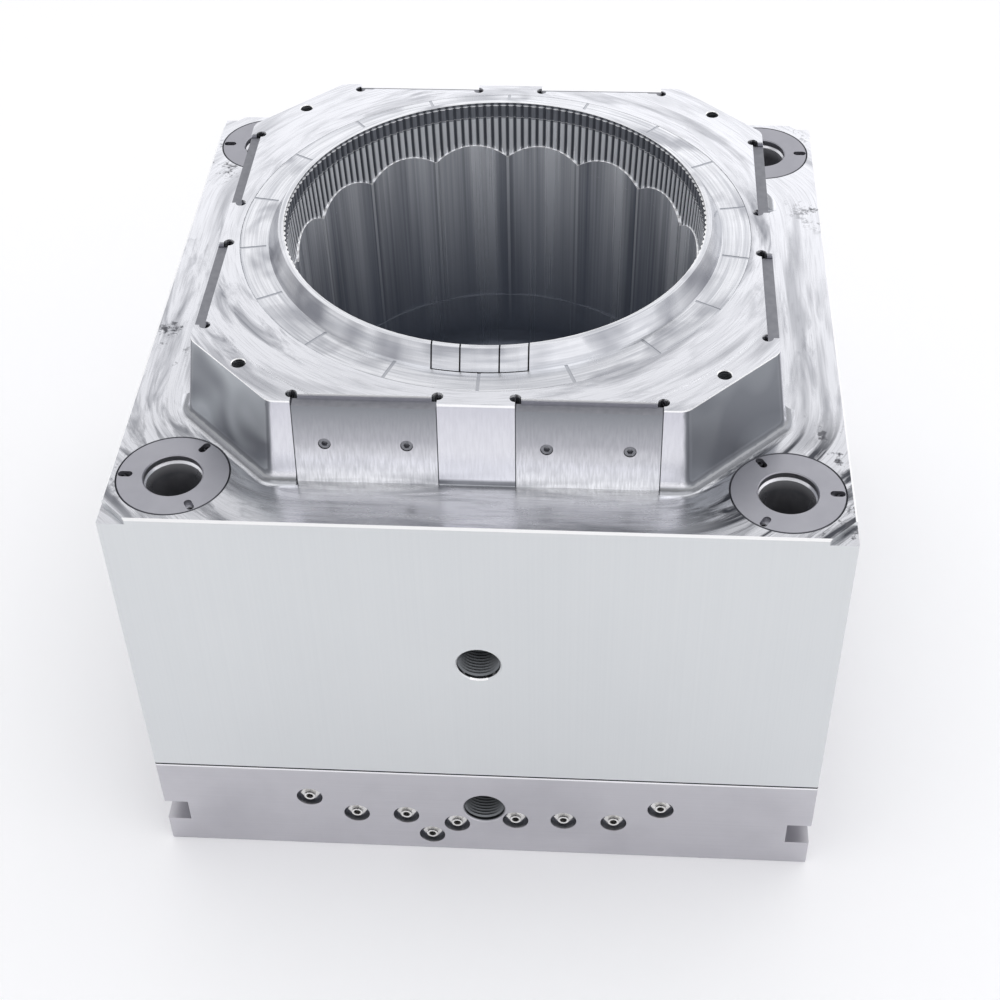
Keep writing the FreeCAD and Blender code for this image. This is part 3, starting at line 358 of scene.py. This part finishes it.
# Lifting threads. Each of the four big side holes is tapped for an eye bolt; the thread's
# ridges show in the hole's mouth as fine bright lines.
def thread(name, major, depth, pitch, length, placement, steps=32):
    """Helical ridge inside a tapped hole, swept from one triangle round the hole's axis."""
    turns = length / pitch
    ridge = bmesh.new()
    corners = [(major, 0, 0), (major, 0, -0.8 * pitch), (major - depth, 0, -0.4 * pitch)]
    points = [ridge.verts.new(corner) for corner in corners]
    sides = [ridge.edges.new((points[first], points[(first + 1) % 3])) for first in range(3)]
    total = round(turns * steps)
    bmesh.ops.spin(ridge, geom=points + sides, cent=(0, 0, 0), axis=(0, 0, 1),
                   dvec=(0, 0, -length / total), angle=2 * math.pi * turns, steps=total,
                   use_merge=False)
    bmesh.ops.holes_fill(ridge, edges=[edge for edge in ridge.edges if edge.is_boundary], sides=3)
    bmesh.ops.recalc_face_normals(ridge, faces=ridge.faces)
    bmesh.ops.transform(ridge, matrix=placement, verts=ridge.verts)
    mesh = bpy.data.meshes.new(name)
    ridge.to_mesh(mesh)
    ridge.free()
    piece = bpy.data.objects.new(name, mesh)
    scene.collection.objects.link(piece)
    for face in mesh.polygons:
        face.use_smooth = False
    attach(piece, "root")
    return piece


tapped_steel = new_material("tool_steel_tapped")
place, axis = steel_places(tapped_steel)[:2]
swarf = add(tapped_steel, "TexNoise", {"Scale": 60.0, "Detail": 2.0}, {"Vector": place})
# Painted shade: the threads darken to near black inwards from the hole's mouth, with a fine mottle of
# swarf.
inward = add(tapped_steel, "Math", {"operation": "ABSOLUTE"}, {0: axis[1]})
thread_depth = add(tapped_steel, "MapRange", {"From Min": half_side, "From Max": half_side - 0.03},
                   {"Value": inward})
grime_and_shade = add(tapped_steel, "Mix", {0: 0.75}, {2: swarf, 3: thread_depth})
tone = add(tapped_steel, "Mix", {"data_type": "RGBA", 6: paint("#808386"), 7: paint("#1E2022")},
           {0: grime_and_shade})
finish_with(tapped_steel, {"Metallic": 1.0, "Roughness": 0.36}, {"Base Color": tone})
lifting_pitch = 0.0035
lifting_ridge = 0.0019
lifting_thread_length = 0.052
lifting_setback = 0.002
for owner, height, slot in (("block", block_lifting_height, "block_steel"),
                            ("plate", plate_lifting_height, "plate_steel")):
    for side, angle in (("front", 0), ("rear", math.pi)):
        mouth = (Matrix.Rotation(angle, 4, "Z")
                 @ Matrix.Translation((0, -half_side + lifting_setback, height))
                 @ Matrix.Rotation(math.pi / 2, 4, "X"))
        piece = thread(f"lifting_thread_{owner}_{side}", lifting_radius, lifting_ridge, lifting_pitch,
                       lifting_thread_length, mouth)
        piece.data.materials.append(tapped_steel)

# Bolt threads. The four small holes near the corners of the register's top are tapped M12.
bolt_offset = 0.21
bolt_radius = 0.006
bolt_pitch = 0.00175
bolt_ridge = 0.0009
bolt_thread_length = 0.024
bolt_setback = 0.003
for side, y in (("front", -bolt_offset), ("rear", bolt_offset)):
    for hand, x in (("left", -bolt_offset), ("right", bolt_offset)):
        mouth = Matrix.Translation((x, y, register_top - bolt_setback))
        piece = thread(f"bolt_thread_{side}_{hand}", bolt_radius, bolt_ridge, bolt_pitch,
                       bolt_thread_length, mouth, steps=16)
        piece.data.materials.append(tapped_steel)

# Cavity sleeve, rim ring with its three front inserts, and bottom insert. Tool steel, turned
# outside, and stone-polished upwards in long strokes where the plastic touches it.
cavity_steel = new_material("tool_steel_stone_polished")
place, axis, facing = steel_places(cavity_steel)
flat = add(cavity_steel, "VectorMath", {"operation": "MULTIPLY", 1: (1, 1, 0)}, {0: place})
radius = add(cavity_steel, "VectorMath", {"operation": "LENGTH"}, {0: flat})
heading = add(cavity_steel, "VectorMath", {"operation": "NORMALIZE"}, {0: flat})
turn = add(cavity_steel, "SeparateXYZ", {}, {0: heading}).outputs
around = add(cavity_steel, "CombineXYZ", {}, {0: turn[0], 1: turn[1], 2: axis[2]})
# Polishing strokes are 3 mm apart round the wall and run its whole height; broad soft columns over them
# are painted highlights.
stroke_way = add(cavity_steel, "Mapping", {"Scale": (66, 66, 2.5)}, {"Vector": around})
stroke = add(cavity_steel, "TexNoise", {"Scale": 1.0, "Detail": 4.0, "Roughness": 0.6},
             {"Vector": stroke_way})
broad_way = add(cavity_steel, "Mapping", {"Scale": (7, 7, 1.2)}, {"Vector": around})
broad_highlights = add(cavity_steel, "TexNoise", {"Scale": 1.0, "Detail": 2.0}, {"Vector": broad_way})
strokes_and_highlights = add(cavity_steel, "Mix", {0: 0.24}, {2: broad_highlights, 3: stroke})
shade = add(cavity_steel, "MapRange", {"From Min": 0.4, "From Max": 0.62}, {"Value": strokes_and_highlights})
wall_tone = add(cavity_steel, "Mix", {"data_type": "RGBA", 6: paint("#8F939C"), 7: paint("#F2F4F8")},
                {0: shade})
# Sixteen creases part the lobes: each land is painted with a highlight, and each side of it with painted
# shade.
lobe_count = 16
angle = add(cavity_steel, "Math", {"operation": "ARCTAN2"}, {0: turn[1], 1: turn[0]})
lobe_turn = add(cavity_steel, "Math", {"operation": "MULTIPLY", 1: lobe_count}, {0: angle})
lobe_wave = add(cavity_steel, "Math", {"operation": "COSINE"}, {0: lobe_turn})
flank = add(cavity_steel, "MapRange", {"From Min": 0.93, "From Max": 0.985, "To Max": 0.45},
            {"Value": lobe_wave})
land = add(cavity_steel, "MapRange", {"From Min": 0.99, "From Max": 0.995, "To Max": 0.8},
           {"Value": lobe_wave})
shaded = add(cavity_steel, "Mix", {"data_type": "RGBA", 7: paint("#5B5E66")}, {0: flank, 6: wall_tone})
creased = add(cavity_steel, "Mix", {"data_type": "RGBA", 7: paint("#F2F4F8")}, {0: land, 6: shaded})
# Painted shade: the wall darkens downwards, into the depth of the cavity.
depth = add(cavity_steel, "MapRange", {"From Min": 0.28, "From Max": 0.52}, {"Value": axis[2]})
deep_shade = add(cavity_steel, "Mix", {"data_type": "RGBA", 6: paint("#6C727E")}, {0: depth, 7: creased})
# The rim band has 160 flutes: their crests are painted with highlights and their valleys with shade, and
# the band above the step is painted darker as shade.
flute_count = 160
flute_turn = add(cavity_steel, "Math", {"operation": "MULTIPLY", 1: flute_count}, {0: angle})
flute_wave = add(cavity_steel, "Math", {"operation": "COSINE"}, {0: flute_turn})
valley = add(cavity_steel, "MapRange", {"From Min": -0.3, "From Max": 0.6}, {"Value": flute_wave})
band_step_height = 0.541
upper_band = add(cavity_steel, "Math", {"operation": "GREATER_THAN", 1: band_step_height}, {0: axis[2]})
crest_tone = add(cavity_steel, "Mix", {"data_type": "RGBA", 6: paint("#F4F6FA"), 7: paint("#8B8E95")},
                 {0: upper_band})
rim_tone = add(cavity_steel, "Mix", {"data_type": "RGBA", 7: paint("#5A5D64")},
               {0: valley, 6: crest_tone})
lobe_radius = 0.19385
fluted = add(cavity_steel, "Math", {"operation": "GREATER_THAN", 1: lobe_radius}, {0: radius})
inner_tone = add(cavity_steel, "Mix", {"data_type": "RGBA"}, {0: fluted, 6: deep_shade, 7: rim_tone})
# Painted highlight: the narrow step along the arches is painted white.
level = add(cavity_steel, "MapRange", {"From Min": 0.4, "From Max": 0.9}, {"Value": facing[2]})
below_arches = 0.45
at_arches = add(cavity_steel, "Math", {"operation": "GREATER_THAN", 1: below_arches}, {0: axis[2]})
on_step = add(cavity_steel, "Math", {"operation": "MULTIPLY"}, {0: level, 1: at_arches})
stepped = add(cavity_steel, "Mix", {"data_type": "RGBA", 7: paint("#FFFFFF")},
              {0: on_step, 6: inner_tone})
# The turned outer faces of ring and collar are bright, with the cutter's circles on them.
circle_way = add(cavity_steel, "CombineXYZ", {}, {0: radius, 1: turn[0], 2: turn[1]})
circles = add(cavity_steel, "Mapping", {"Scale": (420, 2.5, 2.5)}, {"Vector": circle_way})
cut_lines = add(cavity_steel, "TexNoise", {"Scale": 1.0, "Detail": 3.0, "Distortion": 0.3},
                {"Vector": circles})
turned = add(cavity_steel, "MapRange", {"From Min": 0.35, "From Max": 0.7}, {"Value": cut_lines})
turned_tone = add(cavity_steel, "Mix", {"data_type": "RGBA", 6: paint("#EDEEF1"), 7: paint("#C3C5CA")},
                  {0: turned})
# Finger-wide darker patches lie on them here and there.
patch_way = add(cavity_steel, "Mapping", {"Scale": (26, 3.4, 3.4)}, {"Vector": circle_way})
patches = add(cavity_steel, "TexNoise", {"Scale": 1.0, "Detail": 2.0, "Distortion": 0.3},
              {"Vector": patch_way})
darkened = add(cavity_steel, "MapRange", {"From Min": 0.53, "From Max": 0.66, "To Max": 0.6},
             {"Value": patches})
turned_tone = add(cavity_steel, "Mix", {"data_type": "RGBA", 7: paint("#8A8C94")},
                  {0: darkened, 6: turned_tone})
# The collar's slope is darkest, in patches that end at its polished crest.
slope = add(cavity_steel, "Math", {"operation": "COMPARE", 1: 0.55, 2: 0.14}, {0: facing[2]})
slope_patches = add(cavity_steel, "MapRange",
                 {"From Min": 0.4, "From Max": 0.6, "To Min": 0.25, "To Max": 0.85}, {"Value": patches})
on_slope = add(cavity_steel, "Math", {"operation": "MULTIPLY"}, {0: slope, 1: slope_patches})
turned_tone = add(cavity_steel, "Mix", {"data_type": "RGBA", 7: paint("#7B7D85")},
                  {0: on_slope, 6: turned_tone})
# Short vents, half a millimetre deep, run outwards from the collar and are grey with residue.
vent_depth = 0.0005
sunk = add(cavity_steel, "Math", {"operation": "COMPARE", 1: register_top - vent_depth, 2: 0.0003},
           {0: axis[2]})
vented = add(cavity_steel, "Mix", {"data_type": "RGBA", 7: paint("#B9BBC0")}, {0: sunk, 6: turned_tone})
mouth_radius = 0.1985
outside = add(cavity_steel, "Math", {"operation": "GREATER_THAN", 1: mouth_radius + 0.0003}, {0: radius})
# The cavity's floor is polished in circles, and painted darker as shade at the bottom of the cavity.
above_floor = 0.35
low = add(cavity_steel, "Math", {"operation": "LESS_THAN", 1: above_floor}, {0: axis[2]})
at_floor = add(cavity_steel, "Math", {"operation": "MULTIPLY"}, {0: level, 1: low})
floor_tone = add(cavity_steel, "Mix", {"data_type": "RGBA", 6: paint("#878C96"), 7: paint("#6C717B")},
                 {0: turned})
floored = add(cavity_steel, "Mix", {"data_type": "RGBA"}, {0: at_floor, 6: stepped, 7: floor_tone})
tone = add(cavity_steel, "Mix", {"data_type": "RGBA"}, {0: outside, 6: floored, 7: vented})
# Oil stands black in the joints of the front inserts.
aside = add(cavity_steel, "Math", {"operation": "ABSOLUTE"}, {0: axis[0]})
joint_width = 0.0007
insert_split = 0.017
insert_end = 0.042
insert_back = 0.2163
inner_joint = add(cavity_steel, "Math", {"operation": "COMPARE", 1: insert_split, 2: joint_width},
                  {0: aside})
outer_joint = add(cavity_steel, "Math", {"operation": "COMPARE", 1: insert_end, 2: joint_width},
                  {0: aside})
back_joint = add(cavity_steel, "Math", {"operation": "COMPARE", 1: insert_back, 2: joint_width},
                 {0: radius})
within = add(cavity_steel, "Math", {"operation": "LESS_THAN", 1: insert_end + joint_width}, {0: aside})
back_here = add(cavity_steel, "Math", {"operation": "MULTIPLY"}, {0: back_joint, 1: within})
upright_joint = add(cavity_steel, "Math", {"operation": "ADD"}, {0: inner_joint, 1: outer_joint})
not_behind = add(cavity_steel, "Math", {"operation": "LESS_THAN", 1: insert_back + joint_width},
                 {0: radius})
upright_here = add(cavity_steel, "Math", {"operation": "MULTIPLY"}, {0: upright_joint, 1: not_behind})
joints = add(cavity_steel, "Math", {"operation": "ADD", "use_clamp": True},
             {0: upright_here, 1: back_here})
front_from = -0.15
rim_foot = 0.52
in_front = add(cavity_steel, "Math", {"operation": "LESS_THAN", 1: front_from}, {0: axis[1]})
high = add(cavity_steel, "Math", {"operation": "GREATER_THAN", 1: rim_foot}, {0: axis[2]})
here = add(cavity_steel, "Math", {"operation": "MULTIPLY"}, {0: in_front, 1: high})
joint_oil = add(cavity_steel, "Math", {"operation": "MULTIPLY"}, {0: joints, 1: here})
oiled_and_shaded = add(cavity_steel, "Mix", {"data_type": "RGBA", 7: paint("#141416")}, {0: joint_oil, 6: tone})
polish = add(cavity_steel, "MapRange",
             {"From Min": 0.35, "From Max": 0.65, "To Min": 0.14, "To Max": 0.3}, {"Value": strokes_and_highlights})
rub = add(cavity_steel, "Bump", {"Strength": 0.06, "Distance": 0.0004}, {"Height": stroke})
# A film of rust preventive scatters some of the light inside the cavity.
film_and_bore_shade = add(cavity_steel, "Mix", {2: 0.45, 3: 1.0}, {0: outside})
finish_with(cavity_steel, {}, {"Base Color": oiled_and_shaded, "Roughness": polish, "Metallic": film_and_bore_shade, "Normal": rub})
dress(cavity_steel, "cavity_sleeve", "bottom_insert", "rim_ring",
      "rim_insert_left", "rim_insert_centre", "rim_insert_right")

# Wear plates. Hardened steel, ground upwards on the face, with dark unground ends, screwed into
# pockets in the register's walls.
wear_steel = new_material("hardened_steel_ground")
place, axis, facing = steel_places(wear_steel)
# Grinding strokes 1.6 mm apart, coarser than real so that they show.
strokes = add(wear_steel, "Mapping", {"Scale": (620, 620, 1.5)}, {"Vector": place})
grind = add(wear_steel, "TexNoise", {"Scale": 1.0, "Detail": 1.0}, {"Vector": strokes})
contrast = add(wear_steel, "MapRange", {"From Min": 0.3, "From Max": 0.7, "To Max": 0.3},
               {"Value": grind})
# Painted reflection: white at the foot, where the face mirrors the bright floor near the mould, and grey
# above, where it mirrors the floor further off.
climb = add(wear_steel, "MapRange", {"From Min": 0.464, "From Max": 0.536}, {"Value": axis[2]})
reflection_ramp = add(wear_steel, "ValToRGB", {}, {"Fac": climb})
reflection_levels = [(0.0, "#FFFFFF"), (0.25, "#F2F2F6"), (0.55, "#B9B9BF"), (1.0, "#888B90")]
while len(reflection_ramp.color_ramp.elements) < len(reflection_levels):
    reflection_ramp.color_ramp.elements.new(0.5)
for stop, (height, code) in zip(reflection_ramp.color_ramp.elements, reflection_levels):
    stop.position = height
    stop.color = paint(code)
ground = add(wear_steel, "Mix", {"data_type": "RGBA", 7: paint("#8A8C92")}, {0: contrast, 6: reflection_ramp})
ends = add(wear_steel, "MapRange", {"From Min": 0.5, "From Max": 0.8}, {"Value": facing[2]})
scale_spots = add(wear_steel, "TexNoise", {"Scale": 160.0, "Detail": 3.0}, {"Vector": place})
end_tone = add(wear_steel, "Mix", {"data_type": "RGBA", 6: paint("#96979C"), 7: paint("#7B7C82")},
               {0: scale_spots})
tone = add(wear_steel, "Mix", {"data_type": "RGBA"}, {0: ends, 6: ground, 7: end_tone})
# Oil stands dark in the joints at both ends of each plate.
aside = [add(wear_steel, "Math", {"operation": "ABSOLUTE"}, {0: axis[way]}) for way in (0, 1)]
lengthwise = add(wear_steel, "Math", {"operation": "MINIMUM"}, {0: aside[0], 1: aside[1]})
plate_middle = 0.0955
plate_length = 0.125
inside = add(wear_steel, "Math",
             {"operation": "COMPARE", 1: plate_middle, 2: plate_length / 2 - 0.0009}, {0: lengthwise})
tone = add(wear_steel, "Mix", {"data_type": "RGBA", 6: paint("#56575C")}, {0: inside, 7: tone})
gloss = add(wear_steel, "Mix", {2: 0.24, 3: 0.5}, {0: ends})
rub = add(wear_steel, "Bump", {"Strength": 0.05, "Distance": 0.0003}, {"Height": grind})
finish_with(wear_steel, {"Metallic": 1.0},
            {"Base Color": tone, "Roughness": gloss, "Normal": rub})
dress(wear_steel, *[f"wear_plate_{side}_{half}"
                    for side in ("front", "right", "rear", "left") for half in "ab"])

# Guide bushes. Bearing steel, hardened and honed with crossed marks; below the bright lead-in
# the bore is painted darker, as shade.
corners = ("front_left", "front_right", "rear_left", "rear_right")
bush_steel = new_material("bearing_steel_honed")
place, axis = steel_places(bush_steel)[:2]
honing = add(bush_steel, "TexNoise", {"Scale": 60.0, "Detail": 3.0}, {"Vector": place})
grease_and_bore_shade = add(bush_steel, "MapRange", {"From Min": 0.44, "From Max": 0.452}, {"Value": axis[2]})
film_and_bore_shade = add(bush_steel, "Mix", {"data_type": "RGBA", 6: paint("#7C7C82"), 7: paint("#C2C3C8")},
           {0: honing})
tone = add(bush_steel, "Mix", {"data_type": "RGBA", 7: paint("#E8E8EC")}, {0: grease_and_bore_shade, 6: film_and_bore_shade})
finish_with(bush_steel, {"Metallic": 0.7, "Roughness": 0.24}, {"Base Color": tone})
dress(bush_steel, "dowel_pins", *[f"guide_bush_{corner}" for corner in corners])

# Rings that hold the bushes. Mild steel, faced on a lathe, with the cutter's fine circles.
ring_steel = new_material("mild_steel_faced")
place, axis = steel_places(ring_steel)[:2]
aside = [add(ring_steel, "Math", {"operation": "ABSOLUTE"}, {0: axis[way]}) for way in (0, 1)]
folded = add(ring_steel, "CombineXYZ", {}, {0: aside[0], 1: aside[1]})
centred = add(ring_steel, "VectorMath", {"operation": "SUBTRACT", 1: (bush_centre, bush_centre, 0)},
              {0: folded})
# The facing cut advances 1.2 mm a turn, three times the real feed so that it shows.
facing_feed = 0.0012
cuts = add(ring_steel, "TexWave", {"wave_type": "RINGS", "rings_direction": "Z",
                                   "Scale": 0.314 / facing_feed,
                                   "Distortion": 0.6}, {"Vector": centred})
stains = add(ring_steel, "TexNoise", {"Scale": 40.0, "Detail": 4.0}, {"Vector": place})
faced = add(ring_steel, "Mix", {"data_type": "RGBA", 6: paint("#B2B2B8"), 7: paint("#A0A0A7")},
            {0: stains})
off_centre = add(ring_steel, "VectorMath", {"operation": "LENGTH"}, {0: centred})
# Painted shade: the ring's outer edge is painted dark, for the shadow in the gap round it.
at_rim = add(ring_steel, "Math", {"operation": "GREATER_THAN", 1: keeper_radius - 0.0008},
             {0: off_centre})
tone = add(ring_steel, "Mix", {"data_type": "RGBA", 7: paint("#56575C")}, {0: at_rim, 6: faced})
facing_bump = add(ring_steel, "Bump", {"Strength": 0.15, "Distance": 0.0002},
                  {"Height": cuts.outputs["Fac"]})
finish_with(ring_steel, {"Metallic": 1.0, "Roughness": 0.42},
            {"Base Color": tone, "Normal": facing_bump})
dress(ring_steel, *[f"bush_keeper_{corner}" for corner in corners])

# Cap screws. Alloy steel with black oxide, worn to grey on the faces of the heads.
screw_steel = new_material("alloy_steel_black_oxide")
place = steel_places(screw_steel)[0]
wear = add(screw_steel, "TexNoise", {"Scale": 300.0, "Detail": 3.0}, {"Vector": place})
tone = add(screw_steel, "Mix", {"data_type": "RGBA", 6: paint("#2E2E32"), 7: paint("#6E6E73")},
           {0: wear})
finish_with(screw_steel, {"Metallic": 1.0, "Roughness": 0.36}, {"Base Color": tone})
dress(screw_steel, "keeper_screws", "clamp_plate_screws", "insert_screws", "nozzle_screws")

# Wear plate screws. The same alloy steel, phosphated grey, with heads rubbed light.
grey_screw = new_material("alloy_steel_phosphated")
place = steel_places(grey_screw)[0]
wear = add(grey_screw, "TexNoise", {"Scale": 400.0, "Detail": 2.0}, {"Vector": place})
tone = add(grey_screw, "Mix", {"data_type": "RGBA", 6: paint("#5E5F64"), 7: paint("#A3A4A9")},
           {0: wear})
finish_with(grey_screw, {"Metallic": 1.0, "Roughness": 0.4}, {"Base Color": tone})
dress(grey_screw, "wear_plate_screws")

# Water nipples. Turned brass under dull nickel, screwed into the round recesses at the front
# and rear of the clamp plate.
nickel = new_material("brass_nickel_plated")
place = steel_places(nickel)[0]
tarnish = add(nickel, "TexNoise", {"Scale": 120.0, "Detail": 4.0}, {"Vector": place})
tone = add(nickel, "Mix", {"data_type": "RGBA", 6: paint("#FCFCFB"), 7: paint("#D6D4D0")}, {0: tarnish})
gloss = add(nickel, "MapRange", {"To Min": 0.16, "To Max": 0.4}, {"Value": tarnish})
finish_with(nickel, {"Metallic": 1.0}, {"Base Color": tone, "Roughness": gloss})
dress(nickel, "water_fittings")

# Baffle blades. Sawn from half-hard brass strip, which splits each cooling bore in two.
brass = new_material("brass_strip_sawn")
place = steel_places(brass)[0]
rolled = add(brass, "Mapping", {"Scale": (900, 900, 12)}, {"Vector": place})
rolling = add(brass, "TexNoise", {"Scale": 1.0, "Detail": 2.0}, {"Vector": rolled})
tone = add(brass, "Mix", {"data_type": "RGBA", 6: paint("#D6B768"), 7: paint("#B08E48")}, {0: rolling})
finish_with(brass, {"Metallic": 1.0, "Roughness": 0.32}, {"Base Color": tone})
dress(brass, "baffle_blades")

# Seal rings round the bores and the bottom insert. Black nitrile rubber, moulded.
rubber = new_material("nitrile_rubber_moulded")
place = steel_places(rubber)[0]
bloom = add(rubber, "TexNoise", {"Scale": 90.0, "Detail": 3.0}, {"Vector": place})
tone = add(rubber, "Mix", {"data_type": "RGBA", 6: paint("#161617"), 7: paint("#2A2A2C")}, {0: bloom})
finish_with(rubber, {"Roughness": 0.6}, {"Base Color": tone})
dress(rubber, "bore_seals", "insert_seals")

# Hot nozzle, in the middle of the underside. Turned hot-work steel, browned by heat upwards.
nozzle_steel = new_material("hot_work_steel_turned")
place, axis = steel_places(nozzle_steel)[:2]
lathe = add(nozzle_steel, "Mapping", {"Scale": (8, 8, 900)}, {"Vector": place})
feed = add(nozzle_steel, "TexNoise", {"Scale": 1.0, "Detail": 2.0}, {"Vector": lathe})
heat = add(nozzle_steel, "MapRange", {"From Min": 0.1, "From Max": 0.24}, {"Value": axis[2]})
cold = add(nozzle_steel, "Mix", {"data_type": "RGBA", 6: paint("#B4B1AD"), 7: paint("#928F8B")},
           {0: feed})
tone = add(nozzle_steel, "Mix", {"data_type": "RGBA", 7: paint("#7B6650")}, {0: heat, 6: cold})
finish_with(nozzle_steel, {"Metallic": 1.0, "Roughness": 0.3}, {"Base Color": tone})
dress(nozzle_steel, "hot_nozzle")

# Nozzle heater. A rolled stainless sheath, straw-coloured from use.
sheath = new_material("stainless_sheath_rolled")
place = steel_places(sheath)[0]
straw = add(sheath, "TexNoise", {"Scale": 30.0, "Detail": 3.0}, {"Vector": place})
tone = add(sheath, "Mix", {"data_type": "RGBA", 6: paint("#BFB4A2"), 7: paint("#96825E")}, {0: straw})
finish_with(sheath, {"Metallic": 1.0, "Roughness": 0.35}, {"Base Color": tone})
dress(sheath, "nozzle_heater")
